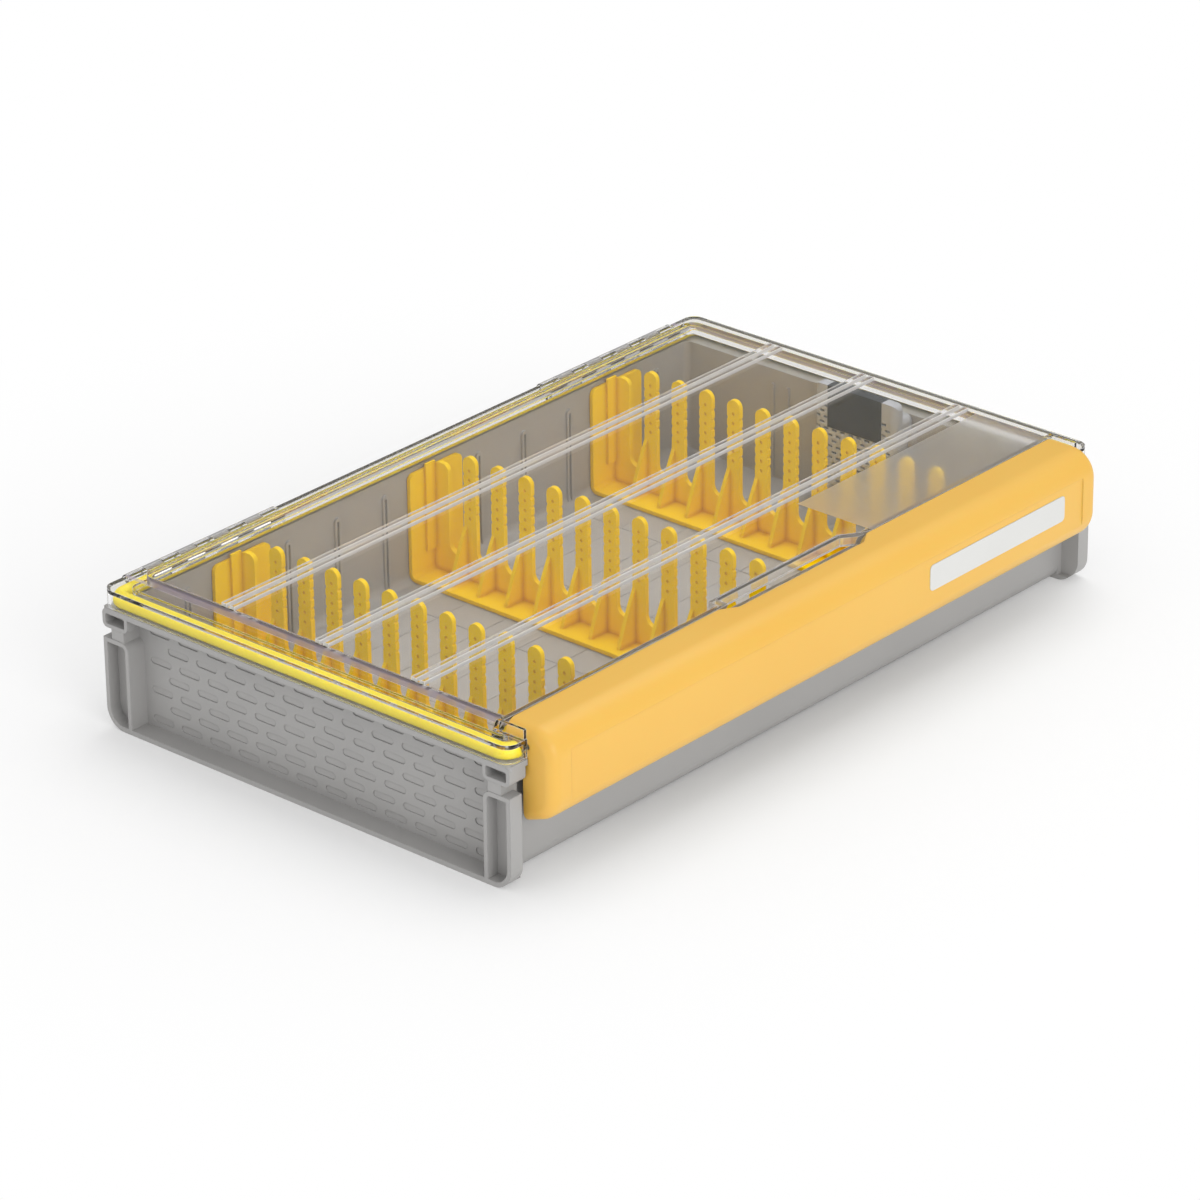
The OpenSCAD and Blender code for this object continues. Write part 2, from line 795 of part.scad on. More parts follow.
module latch() {
    inner0 = latch_x0 + end_wall;
    inner1 = latch_x1 - end_wall;
    rib_x0 = ear_x + ear_t + ear_gap;
    rib_step = (box_l - 2 * rib_x0 - latch_rib_t) / latch_rib_n;
    color(amber)
        place()
            difference() {
                union() {
                    difference() {
                        along_x(latch_x0, latch_x1)
                            latch_section(0);
                        along_x(inner0, inner1)
                            latch_section(latch_t);
                    }
                    for (i = [0 : latch_rib_n])
                        along_x(rib_x0 + i * rib_step, rib_x0 + i * rib_step + latch_rib_t)
                            intersection() {
                                latch_section(latch_t / 2);
                                rect(-latch_out, latch_low, latch_mid, pivot_z + ear_r);
                            }
                    along_x(rib_x0, box_l - rib_x0) {
                        rect(latch_mid - rail_t, rail_low, latch_mid, rail_top);
                        polygon([[latch_mid - rail_t, catch_z], [lip_y + catch_reach, catch_z],
                            [lip_y + catch_reach, catch_z - catch_h / 2],
                            [latch_mid - rail_t, catch_z - 2 * catch_h]]);
                    }
                }
                difference() {
                    along_z(latch_low - over, latch_top + over)
                        rect(latch_x0 - over, -latch_out - over, latch_x1 + over, plan_r - latch_out);
                    along_z(latch_low - 2 * over, latch_top + 2 * over)
                        round_rect(latch_x0, -latch_out, latch_x1, latch_back, plan_r);
                }
                along_z(panel_z0 - over, panel_z1)
                    rect(latch_x0 + panel_in, -latch_out - over,
                        latch_x1 - panel_in, panel_deep - latch_out);
                along_z(pivot_z + ear_r, latch_top + over)
                    polygon([[notch_x - 2 * scoop_d, latch_back + over], [notch_x, latch_back - scoop_d],
                        [notch_x + notch_l, latch_back - scoop_d],
                        [notch_x + notch_l + 2 * scoop_d, latch_back + over]]);
                latch_line(-over, box_l + over, latch_pin_d / 2 + pin_fit);
            }
}

module latch_pin_left() {
    color(steel)
        place()
            latch_line(latch_x0 + merge, latch_x0 + merge + latch_pin_l, latch_pin_d / 2);
}

module latch_pin_right() {
    color(steel)
        place()
            latch_line(latch_x1 - merge - latch_pin_l, latch_x1 - merge, latch_pin_d / 2);
}

module latch_label() {
    color(white)
        place()
            along_y(panel_deep - latch_out - label_t, panel_deep - latch_out)
                round_rect(label_x, label_z, label_x + label_w, label_z + label_h, label_r);
}

// Upright sheet of a comb with its slots, teeth and nicks, in (y, z).
module comb_sheet() {
    difference() {
        union() {
            intersection() {
                tub(in_y0 + seat_gap, in_y1 - seat_gap, floor_t + seat_gap, plate_z, comb_r);
                rect(in_y0, 0, in_y1, slot_z + slot_r);
            }
            for (y = tooth_y) {
                rect(y - tooth_r, slot_z, y + tooth_r, tooth_z - tooth_r);
                disc(y, tooth_z - tooth_r, tooth_r);
            }
            both_sides_2d((in_y0 + in_y1) / 2) {
                rect(in_y0 + seat_gap + comb_t, slot_z, tooth_y[0] - tooth_pitch + tooth_r, stub_z - stub_r);
                round_rect(in_y0 + seat_gap + comb_t + merge, slot_z + slot_r,
                    tooth_y[0] - tooth_pitch + tooth_r, stub_z, stub_r);
            }
        }
        for (i = [0 : tooth_n])
            disc(tooth_y[0] + (i - share(0.5)) * tooth_pitch, slot_z + slot_r, slot_r);
        for (y = tooth_y, i = [0 : nick_n - 1], side = [-1, 1])
            disc(y + side * (tooth_r + nick_out), tooth_z - nick_down - i * dimple_step, nick_r);
    }
}

module both_sides_2d(mid) {
    children();
    translate([2 * mid, 0])
        mirror([1, 0])
            children();
}

// Convex web from the base's edge up to the sheet, in (x, z) from the sheet's middle.
module gusset_section() {
    foot = [gusset_in - base_near, floor_t + seat_gap + comb_t / 2];
    head = [-sheet_t / 2, gusset_z];
    polygon(concat([for (i = [0 : gusset_steps])
        let(s = i / gusset_steps, lift = 4 * s * (1 - s) * gusset_bulge)
        [foot[0] + s * (head[0] - foot[0]) - lift, foot[1] + s * (head[1] - foot[1]) + lift / 2]],
        [[0, gusset_z], [0, foot[1]]]));
}

// Raised block beside the sheet on an end plate, lower at the front to pass the lid's ledge.
module comb_ridge(top) {
    along_z(slot_z, plate_z - plate_r)
        rect(-ridge_x, plate_y - merge, merge - sheet_t / 2, plate_y + ridge_t);
    along_z(slot_z + merge, top)
        rect(-ridge_x, plate_y + merge, merge - sheet_t / 2, plate_y + ridge_t);
}

module comb(x) {
    color(comb_yellow)
        place()
            translate([x, 0, 0])
                difference() {
                    union() {
                        intersection() {
                            along_x(-base_near, base_far)
                                difference() {
                                    tub(in_y0 + seat_gap, in_y1 - seat_gap, floor_t + seat_gap,
                                        plate_z, comb_r);
                                    tub(in_y0 + seat_gap + comb_t, in_y1 - seat_gap - comb_t,
                                        floor_t + seat_gap + comb_t, rim_z + over, comb_r - comb_t);
                                }
                            along_y(in_y0, in_y1)
                                round_rect(-base_near, -plate_z, base_far, plate_z, plate_r);
                        }
                        along_x(-sheet_t / 2, sheet_t / 2)
                            comb_sheet();
                        comb_ridge(ridge_front_z);
                        translate([0, in_y0 + in_y1, 0])
                            mirror([0, 1, 0])
                                comb_ridge(ridge_z);
                        for (y = tooth_y)
                            along_y(y + tooth_r - gusset_t, y + tooth_r)
                                gusset_section();
                    }
                    for (y = tooth_y, i = [0 : dimple_n - 1])
                        translate([-sheet_t / 2 - over, y,
                                tooth_z - nick_down - dimple_step * (i - share(0.5))])
                            rotate([0, 90, 0])
                                cylinder(h = over + dimple_deep, r = dimple_r);
                }
}

module comb_left() {
    comb(comb_x[0]);
}

module comb_middle() {
    comb(comb_x[1]);
}

module comb_right() {
    comb(comb_x[2]);
}

// The housing's top is stepped at the back, to pass under the lid's raised edge.
module divider_housing() {
    color(pale_blue)
        place()
            difference() {
                intersection() {
                    union() {
                        along_x(dry_x0, dry_step_x)
                            round_rect(dry_y0, dry_z0, dry_y1, dry_z1, dry_round);
                        along_x(dry_x0, dry_x1 - cover_t)
                            round_rect(dry_y0, dry_z0, dry_y1, dry_step_z, dry_round);
                    }
                    along_z(dry_z0 - over, dry_z1 + over)
                        round_rect(dry_x0, dry_y0, dry_x1 + dry_round, dry_y1, dry_round);
                }
                along_x(dry_x0 + dry_wall, dry_x1 + over)
                    round_rect(dry_y0 + dry_wall, dry_z0 + dry_wall,
                        dry_y1 - dry_wall, dry_step_z - dry_wall, dry_round - dry_wall);
                along_x(dry_x0 + dry_wall, dry_step_x - dry_wall)
                    round_rect(dry_y0 + dry_wall, dry_z0 + dry_wall, dry_y1 - dry_wall, dry_z1 - dry_wall,
                        dry_round - dry_wall);
                for (row = [0 : slit_rows - 1], col = [0 : slit_cols - 1])
                    translate([dry_x0 - over, dry_y0 + dry_round + (col + row % 2 / 2) * slit_px - merge,
                            slit_z + row * slit_pz])
                        cube([over + 2 * dry_wall, slit_l, slit_h]);
            }
}

module divider_back_cover() {
    color(pale_blue)
        place() {
            along_x(dry_x1 - cover_t, dry_x1)
                round_rect(dry_y0, dry_z0, dry_y1, dry_step_z, dry_round);
            along_x(dry_x1 - cover_t - over, dry_x1 - cover_t + merge)
                difference() {
                    round_rect(dry_y0 + dry_wall + merge, dry_z0 + dry_wall + merge,
                        dry_y1 - dry_wall - merge, dry_step_z - dry_wall - merge, dry_round - dry_wall);
                    round_rect(dry_y0 + 2 * dry_wall + merge, dry_z0 + 2 * dry_wall + merge,
                        dry_y1 - 2 * dry_wall - merge, dry_step_z - 2 * dry_wall - merge,
                        dry_round - dry_wall);
                }
        }
}

module desiccant_pack() {
    color(bead_grey)
        place()
            along_x(dry_x0 + dry_wall + pack_gap, dry_x1 - cover_t - over - pack_gap)
                round_rect(dry_y0 + dry_wall + pack_gap, dry_z0 + dry_wall, dry_y1 - dry_wall - pack_gap,
                    dry_z0 + dry_wall + pack_h, dry_round);
}

module divider_tag() {
    color(charcoal)
        place() {
            along_x(dry_x0 - tag_t, dry_x0)
                rect(dry_y0 + tag_in, tag_z, dry_y1 - tag_in, dry_z1 + tag_t);
            along_x(dry_x0 - tag_t, dry_step_x - merge)
                rect(dry_y0 + tag_in, dry_z1, dry_y1 - tag_in, dry_z1 + tag_t);
        }
}

tray();
lid();
gasket();
hinge_pin_left();
hinge_pin_right();
latch();
latch_label();
latch_pin_left();
latch_pin_right();
comb_left();
comb_middle();
comb_right();
divider_housing();
divider_back_cover();
desiccant_pack();
divider_tag();
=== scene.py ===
import bmesh
import bpy
import math
from mathutils import Matrix, Vector


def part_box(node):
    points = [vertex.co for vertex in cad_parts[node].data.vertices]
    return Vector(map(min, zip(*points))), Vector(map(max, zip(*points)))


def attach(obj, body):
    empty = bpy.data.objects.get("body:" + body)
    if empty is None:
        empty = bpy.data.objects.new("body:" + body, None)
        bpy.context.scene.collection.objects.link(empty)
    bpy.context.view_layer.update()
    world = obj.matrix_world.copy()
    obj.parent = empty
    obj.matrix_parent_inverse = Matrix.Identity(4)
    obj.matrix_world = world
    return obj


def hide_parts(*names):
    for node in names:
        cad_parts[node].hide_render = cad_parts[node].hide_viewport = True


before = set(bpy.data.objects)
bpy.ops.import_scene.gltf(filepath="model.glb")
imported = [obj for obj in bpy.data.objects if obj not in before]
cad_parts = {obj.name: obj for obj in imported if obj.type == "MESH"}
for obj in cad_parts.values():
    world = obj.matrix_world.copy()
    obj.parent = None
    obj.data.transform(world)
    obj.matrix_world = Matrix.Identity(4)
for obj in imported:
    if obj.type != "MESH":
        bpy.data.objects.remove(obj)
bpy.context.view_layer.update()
scene = bpy.context.scene
mm = 0.001


# Camera: eye, axes and lens were solved on the box's straight edges in the photo
cameraView = {
    "eye": (-1.57389, -1.38008, 1.03289),
    "right": (0.65833689, -0.7526615, -0.00965479),
    "up": (0.33245284, 0.2792339, 0.90083491),
    "back": (-0.67532781, -0.59626261, 0.43405443),
    "lens": 169.30,
    "sensor": 36,
    "farthest": 20,
}


def makeCamera(view):
    data = bpy.data.cameras.new("photoCamera")
    data.lens = view["lens"]
    data.sensor_width = view["sensor"]
    data.clip_end = view["farthest"]
    camera = bpy.data.objects.new("photoCamera", data)
    scene.collection.objects.link(camera)
    axes = Matrix((view["right"], view["up"], view["back"])).transposed()
    camera.matrix_world = Matrix.Translation(view["eye"]) @ axes.to_4x4()
    scene.camera = camera


makeCamera(cameraView)
print("camera set")


# Node helpers. A value is a number, a colour of three numbers or the socket of another node
def plug(tree, socket, value):
    if isinstance(value, (int, float)):
        socket.default_value = value
    elif isinstance(value, tuple):
        socket.default_value = (*value, 1)
    else:
        tree.links.new(value, socket)


def combine(tree, how, one, two):
    node = tree.nodes.new("ShaderNodeMath")
    node.operation = how
    node.use_clamp = how == "ADD"
    plug(tree, node.inputs[0], one)
    plug(tree, node.inputs[1], two)
    return node.outputs[0]


def multiply(tree, one, two):
    return combine(tree, "MULTIPLY", one, two)


def blend(tree, share, none, full):
    node = tree.nodes.new("ShaderNodeMix")
    plug(tree, node.inputs[0], share)
    plug(tree, node.inputs[2], none)
    plug(tree, node.inputs[3], full)
    return node.outputs[0]


def blendColour(tree, share, none, full):
    node = tree.nodes.new("ShaderNodeMix")
    node.data_type = "RGBA"
    plug(tree, node.inputs[0], share)
    plug(tree, node.inputs[6], none)
    plug(tree, node.inputs[7], full)
    return node.outputs[2]


def blendShader(tree, share, none, full):
    node = tree.nodes.new("ShaderNodeMixShader")
    plug(tree, node.inputs[0], share)
    plug(tree, node.inputs[1], none)
    plug(tree, node.inputs[2], full)
    return node.outputs[0]


def stretch(tree, value, start, end, first=0, last=1):
    node = tree.nodes.new("ShaderNodeMapRange")
    node.inputs["From Min"].default_value = start
    node.inputs["From Max"].default_value = end
    node.inputs["To Min"].default_value = first
    node.inputs["To Max"].default_value = last
    plug(tree, node.inputs["Value"], value)
    return node


# 1 between two values and 0 outside, with an edge that is soft over twice the last value
def between(tree, value, low, high, soft):
    rise = stretch(tree, value, low - soft, low + soft)
    fall = stretch(tree, value, high - soft, high + soft, 1, 0)
    return multiply(tree, rise.outputs["Result"], fall.outputs["Result"])


# 1 inside the limits on each axis that is named
def zone(tree, axes, limits, soft):
    masks = [between(tree, axes[axis], low, high, soft) for axis, (low, high) in limits.items()]
    mask = masks[0]
    for other in masks[1:]:
        mask = multiply(tree, mask, other)
    return mask


def noise(tree, place, scale, detail):
    node = tree.nodes.new("ShaderNodeTexNoise")
    node.inputs["Scale"].default_value = scale
    node.inputs["Detail"].default_value = detail
    plug(tree, node.inputs["Vector"], place.outputs["Object"])
    return node.outputs["Fac"]


def bumped(tree, height, strength, depth):
    node = tree.nodes.new("ShaderNodeBump")
    node.inputs["Strength"].default_value = strength
    node.inputs["Distance"].default_value = depth
    plug(tree, node.inputs["Height"], height)
    return node


def roundedNormal(tree, radius, samples):
    node = tree.nodes.new("ShaderNodeBevel")
    node.samples = samples
    node.inputs["Radius"].default_value = radius
    return node.outputs["Normal"]


def newMaterial(name):
    material = bpy.data.materials.new(name)
    material.use_nodes = True
    tree = material.node_tree
    return material, tree, tree.nodes["Principled BSDF"]


def showSurface(tree, shader):
    plug(tree, tree.nodes["Material Output"].inputs["Surface"], shader)


# Studio: a white floor that fades to white around the box, a broad lamp above on the right
# and a weak one in front on the left
studio = {
    "floorColour": (0.97, 0.97, 0.97),
    "floorHalf": 6,
    "floorRoughness": 0.9,
    "floorShine": 0.1,
    "fadeFrom": 0.1,
    "fadeTo": 0.42,
    "worldFill": 0.74,
    "worldShine": 0.12,
    "worldInside": 1.4,
    "worldVeil": 0.55,
    "keyWatts": 10.5,
    "keyPlace": (0.8, 0.1, 1.9),
    "keySize": 1.5,
    "fillWatts": 9,
    "fillPlace": (-0.65, -1.65, 0.7),
    "fillSize": 1.0,
    "lampAim": (0, 0, 0.03),
}


# The surroundings are white where they are seen, straight or through the lid. As a light on the
# box they are softer, and brighter through the lid, to make up for what it takes. As a mirror
# image they are faint, so that the lid's shine doesn't veil the combs
def makeWorld():
    world = bpy.data.worlds.new("studioWorld")
    scene.world = world
    world.use_nodes = True
    tree = world.node_tree
    tree.nodes.clear()
    path = tree.nodes.new("ShaderNodeLightPath").outputs
    through = path["Is Transmission Ray"]
    lighting = combine(tree, "GREATER_THAN", path["Diffuse Depth"], 0.5)
    mirrored = combine(tree, "GREATER_THAN", path["Glossy Depth"], 0.5)
    strength = blend(tree, path["Is Glossy Ray"], studio["worldFill"], studio["worldShine"])
    strength = blend(tree, through, strength, 1)
    strength = blend(tree, multiply(tree, through, lighting), strength, studio["worldInside"])
    strength = blend(tree, multiply(tree, through, mirrored), strength, studio["worldVeil"])
    strength = blend(tree, path["Is Camera Ray"], strength, 1)
    sky = tree.nodes.new("ShaderNodeBackground")
    sky.inputs["Color"].default_value = (1, 1, 1, 1)
    plug(tree, sky.inputs["Strength"], strength)
    out = tree.nodes.new("ShaderNodeOutputWorld")
    plug(tree, out.inputs["Surface"], sky.outputs[0])


def areaLamp(name, place, size, watts):
    data = bpy.data.lights.new(name, "AREA")
    data.shape = "SQUARE"
    data.size = size
    data.energy = watts
    lamp = bpy.data.objects.new(name, data)
    lamp.location = place
    aim = Vector(studio["lampAim"]) - Vector(place)
    lamp.rotation_euler = aim.to_track_quat("-Z", "Y").to_euler()
    scene.collection.objects.link(lamp)


# Away from the box the floor fades into the white background, for the camera only
def floorMaterial():
    material, tree, shader = newMaterial("studioFloor")
    plug(tree, shader.inputs["Base Color"], studio["floorColour"])
    shader.inputs["Roughness"].default_value = studio["floorRoughness"]
    shader.inputs["Specular IOR Level"].default_value = studio["floorShine"]
    place = tree.nodes.new("ShaderNodeTexCoord")
    away = tree.nodes.new("ShaderNodeVectorMath")
    away.operation = "LENGTH"
    plug(tree, away.inputs[0], place.outputs["Object"])
    fade = stretch(tree, away.outputs["Value"], studio["fadeFrom"], studio["fadeTo"])
    fade.interpolation_type = "SMOOTHSTEP"
    path = tree.nodes.new("ShaderNodeLightPath")
    shown = multiply(tree, fade.outputs["Result"], path.outputs["Is Camera Ray"])
    white = tree.nodes.new("ShaderNodeEmission")
    white.inputs["Strength"].default_value = 1
    showSurface(tree, blendShader(tree, shown, shader.outputs[0], white.outputs[0]))
    return material


def makeFloor():
    mesh = bpy.data.meshes.new("studioFloor")
    half = studio["floorHalf"]
    corners = [(-half, -half, 0), (half, -half, 0), (half, half, 0), (-half, half, 0)]
    mesh.from_pydata(corners, [], [(0, 1, 2, 3)])
    mesh.materials.append(floorMaterial())
    floor = bpy.data.objects.new("studioFloor", mesh)
    scene.collection.objects.link(floor)


makeWorld()
areaLamp("keyLamp", studio["keyPlace"], studio["keySize"], studio["keyWatts"])
areaLamp("fillLamp", studio["fillPlace"], studio["fillSize"], studio["fillWatts"])
makeFloor()
scene.view_settings.view_transform = "Standard"
print("studio built")


# Finish of the opaque pieces: a slow change of shade, a fine grain and softened edges
opaque = {
    "ior": 1.49,
    "shine": 0.5,
    "glowDepth": 1 * mm,
    "darkBelow": 0.3,
    "lightAbove": 0.7,
    "cloudDetail": 3,
    "grainDetail": 2,
    "grainDepth": 0.2 * mm,
    "edgeSamples": 4,
    "creaseShadowSamples": 6,
}


# The slow change between the piece's dark and light shade
def cloudedShade(tree, place, look):
    ramp = tree.nodes.new("ShaderNodeValToRGB")
    dark, light = ramp.color_ramp.elements
    dark.position, dark.color = opaque["darkBelow"], (*look["dark"], 1)
    light.position, light.color = opaque["lightAbove"], (*look["light"], 1)
    plug(tree, ramp.inputs["Fac"], noise(tree, place, look["cloudScale"], opaque["cloudDetail"]))
    return ramp.outputs["Color"]


# Painted shade: dimples, nicks and corners are darkened towards a deeper colour by ambient occlusion
def paintedCreaseShadow(tree, hue, look):
    occlusion = tree.nodes.new("ShaderNodeAmbientOcclusion")
    occlusion.samples = opaque["creaseShadowSamples"]
    occlusion.inputs["Distance"].default_value = look["creaseShadowReach"]
    unshaded = combine(tree, "POWER", occlusion.outputs["AO"], look["creaseShadowSharp"])
    return blendColour(tree, unshaded, look["creaseShadow"], hue)


# The latch tints the floor less than its colour would
def calmedShade(tree, hue, look):
    path = tree.nodes.new("ShaderNodeLightPath")
    return blendColour(tree, path.outputs["Is Diffuse Ray"], hue, look["cast"])


def opaqueFinish(name, look):
    material, tree, shader = newMaterial(name)
    place = tree.nodes.new("ShaderNodeTexCoord")
    hue = cloudedShade(tree, place, look)
    # painted shade in creases, where a look asks for it
    if "creaseShadow" in look:
        hue = paintedCreaseShadow(tree, hue, look)
    if "cast" in look:
        hue = calmedShade(tree, hue, look)
    plug(tree, shader.inputs["Base Color"], hue)
    if "paintedGlow" in look:  # painted glow: emission in the piece's own colour stands in for light gathered by thin translucent plastic
        plug(tree, shader.inputs["Emission Color"], hue)
        shader.inputs["Emission Strength"].default_value = look["paintedGlow"]
    shader.inputs["Metallic"].default_value = look.get("metal", 0)
    shader.inputs["Roughness"].default_value = look["roughness"]
    shader.inputs["IOR"].default_value = opaque["ior"]
    shader.inputs["Specular IOR Level"].default_value = look.get("shine", opaque["shine"])
    shader.inputs["Subsurface Weight"].default_value = look.get("glow", 0)
    shader.inputs["Subsurface Scale"].default_value = opaque["glowDepth"]
    grain = noise(tree, place, look["grainScale"], opaque["grainDetail"])
    surface = bumped(tree, grain, look["grain"], opaque["grainDepth"])
    plug(tree, surface.inputs["Normal"], roundedNormal(tree, look["edge"], opaque["edgeSamples"]))
    plug(tree, shader.inputs["Normal"], surface.outputs["Normal"])
    return material


trayLook = {
    "dark": (0.395, 0.388, 0.38),
    "light": (0.425, 0.417, 0.408),
    "roughness": 0.42,
    "cloudScale": 12,
    "grainScale": 1800,
    "grain": 0.08,
    "edge": 0.5 * mm,
}
latchLook = {
    "dark": (0.87, 0.5, 0.085),
    "light": (0.89, 0.53, 0.1),
    "cast": (0.62, 0.58, 0.5),
    "roughness": 0.4,
    "glow": 0.1,
    "cloudScale": 10,
    "grainScale": 1500,
    "grain": 0.08,
    "edge": 0.6 * mm,
}
combLook = {
    "dark": (0.93, 0.61, 0.001),
    "light": (0.96, 0.66, 0.002),
    # painted shade in the comb's dimples, nicks and corners
    "creaseShadow": (0.7, 0.37, 0.0005),
    "creaseShadowReach": 2.6 * mm,
    "creaseShadowSharp": 1.7,
    # painted glow, an emission in the comb's own colour
    "paintedGlow": 0.07,
    "roughness": 0.42,
    "shine": 0.1,
    "cloudScale": 20,
    "grainScale": 1800,
    "grain": 0.02,
    "edge": 0.15 * mm,
}
gasketLook = {
    "dark": (0.86, 0.7, 0.01),
    "light": (0.92, 0.76, 0.015),
    "roughness": 0.5,
    "glow": 0.1,
    "cloudScale": 30,
    "grainScale": 1500,
    "grain": 0.1,
    "edge": 0.3 * mm,
}
pinLook = {
    "dark": (0.4, 0.4, 0.42),
    "light": (0.55, 0.55, 0.56),
    "metal": 1,
    "roughness": 0.3,
    "cloudScale": 300,
    "grainScale": 3000,
    "grain": 0.1,
    "edge": 0.2 * mm,
}
labelLook = {
    "dark": (0.72, 0.72, 0.7),
    "light": (0.76, 0.76, 0.74),
    "roughness": 0.4,
    "cloudScale": 20,
    "grainScale": 3000,
    "grain": 0.05,
    "edge": 0.2 * mm,
}
dividerLook = {
    "dark": (0.43, 0.44, 0.46),
    "light": (0.48, 0.49, 0.51),
    "roughness": 0.45,
    "cloudScale": 20,
    "grainScale": 1800,
    "grain": 0.05,
    "edge": 0.4 * mm,
}
tagLook = {
    "dark": (0.05, 0.056, 0.056),
    "light": (0.062, 0.068, 0.068),
    "roughness": 0.6,
    "shine": 0.15,
    "cloudScale": 40,
    "grainScale": 900,
    "grain": 0.01,
    "edge": 0.2 * mm,
}
packLook = {
    "dark": (0.66, 0.65, 0.6),
    "light": (0.78, 0.77, 0.73),
    "roughness": 0.9,
    "cloudScale": 400,
    "grainScale": 1200,
    "grain": 0.5,
    "edge": 0.5 * mm,
}


# Clear lid: see-through, with a pale diffuse share that paints highlights along its edges, in the double
# ribs and the finger notch, a painted purple-grey reflection on the raised panel's end walls and a pale
# haze on the frosted patch.
# Places are x, y and z in the box's frame, and side is the distance from its middle
lidLow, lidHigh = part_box("lid")
lidLook = {
    "tint": (0.975, 0.97, 0.965),
    "ior": 1.36,
    "shine": 0.3,
    "roughness": 0.02,
    "shadow": (0.98, 0.98, 0.98),
    "maskSoft": 0.1 * mm,
    "edge": 0.35 * mm,
    "edgeSamples": 6,
    "edgeBend": (0.995, 0.9),
    # painted highlight along the edges
    "edgeHighlight": 0.62,
    "ribHeight": 1.6 * mm,
    # painted highlights on the ribs' tops and upright sides
    "ribTopHighlight": 0.1,
    "ribSideHighlight": 0.5,
    "flange": 13 * mm,
    "wall": 2 * mm,
    # painted reflection on the end walls, purple-grey
    "wallZ": (61.9 * mm, 65.7 * mm),
    "wallReflection": 0.5,
    "patchX": (50.5 * mm, 169.5 * mm),
    "patchY": (-93.7 * mm, -54 * mm),
    "patchZ": (65.5 * mm, 67 * mm),
    "patchHaze": 0.12,
    "patchRoughness": 0.3,
    "notchX": (-42 * mm, 56 * mm),
    "notchY": (-94.5 * mm, -83.5 * mm),
    # painted highlights in the finger notch
    "notchTopHighlight": 0.02,
    "notchSideHighlight": 0.22,
    "hazeAndHighlightColour": (0.93, 0.92, 0.91),
    "wallReflectionColour": (0.5, 0.43, 0.52),
    "rippleScale": 30,
    "rippleDetail": 2,
    "rippleDepth": 1 * mm,
    "ripple": 0.02,
}


# Masks of the ribs, the panel's end walls, the frosted patch and the finger notch
def lidMasks(tree, place, look):
    split = tree.nodes.new("ShaderNodeSeparateXYZ")
    plug(tree, split.inputs[0], place.outputs["Object"])
    axes = {"x": split.outputs["X"], "y": split.outputs["Y"], "z": split.outputs["Z"]}
    axes["side"] = combine(tree, "ABSOLUTE", axes["x"], 0)
    soft = look["maskSoft"]
    wallX = lidHigh.x - look["flange"]
    limits = {
        "ribs": {"z": (lidHigh.z - look["ribHeight"] + soft, lidHigh.z + mm)},
        "walls": {"side": (wallX - look["wall"] - soft, wallX + soft), "z": look["wallZ"]},
        "patch": {"x": look["patchX"], "y": look["patchY"], "z": look["patchZ"]},
        "notch": {"x": look["notchX"], "y": look["notchY"]},
    }
    return {name: zone(tree, axes, limit, soft) for name, limit in limits.items()}


# Painted highlight lines along the edges, where a rounded normal turns away from the face's own
def lidEdgeHighlights(tree, look):
    face = tree.nodes.new("ShaderNodeNewGeometry")
    bend = tree.nodes.new("ShaderNodeVectorMath")
    bend.operation = "DOT_PRODUCT"
    plug(tree, bend.inputs[0], roundedNormal(tree, look["edge"], look["edgeSamples"]))
    plug(tree, bend.inputs[1], face.outputs["Normal"])
    return stretch(tree, bend.outputs["Value"], *look["edgeBend"]).outputs["Result"]


# How pale each place is, from painted highlights on the edges, ribs and notch, a painted reflection on the
# end walls and haze on the frosted patch: ribs and notch have brighter painted highlights on their upright
# sides than on top
def lidHazeAndHighlights(tree, place, masks, look):
    facing = tree.nodes.new("ShaderNodeSeparateXYZ")
    plug(tree, facing.inputs[0], place.outputs["Normal"])
    level = combine(tree, "ABSOLUTE", facing.outputs["Z"], 0)
    steep = combine(tree, "SUBTRACT", 1, level)
    hazeAndHighlightShare = multiply(tree, lidEdgeHighlights(tree, look), look["edgeHighlight"])
    for part, share in (("walls", "wallReflection"), ("patch", "patchHaze")):
        hazeAndHighlightShare = combine(tree, "ADD", hazeAndHighlightShare, multiply(tree, masks[part], look[share]))
    for part, top, side in (("ribs", "ribTopHighlight", "ribSideHighlight"), ("notch", "notchTopHighlight", "notchSideHighlight")):
        share = combine(tree, "ADD", multiply(tree, steep, look[side]), look[top])
        hazeAndHighlightShare = combine(tree, "ADD", hazeAndHighlightShare, multiply(tree, masks[part], share))
    return hazeAndHighlightShare


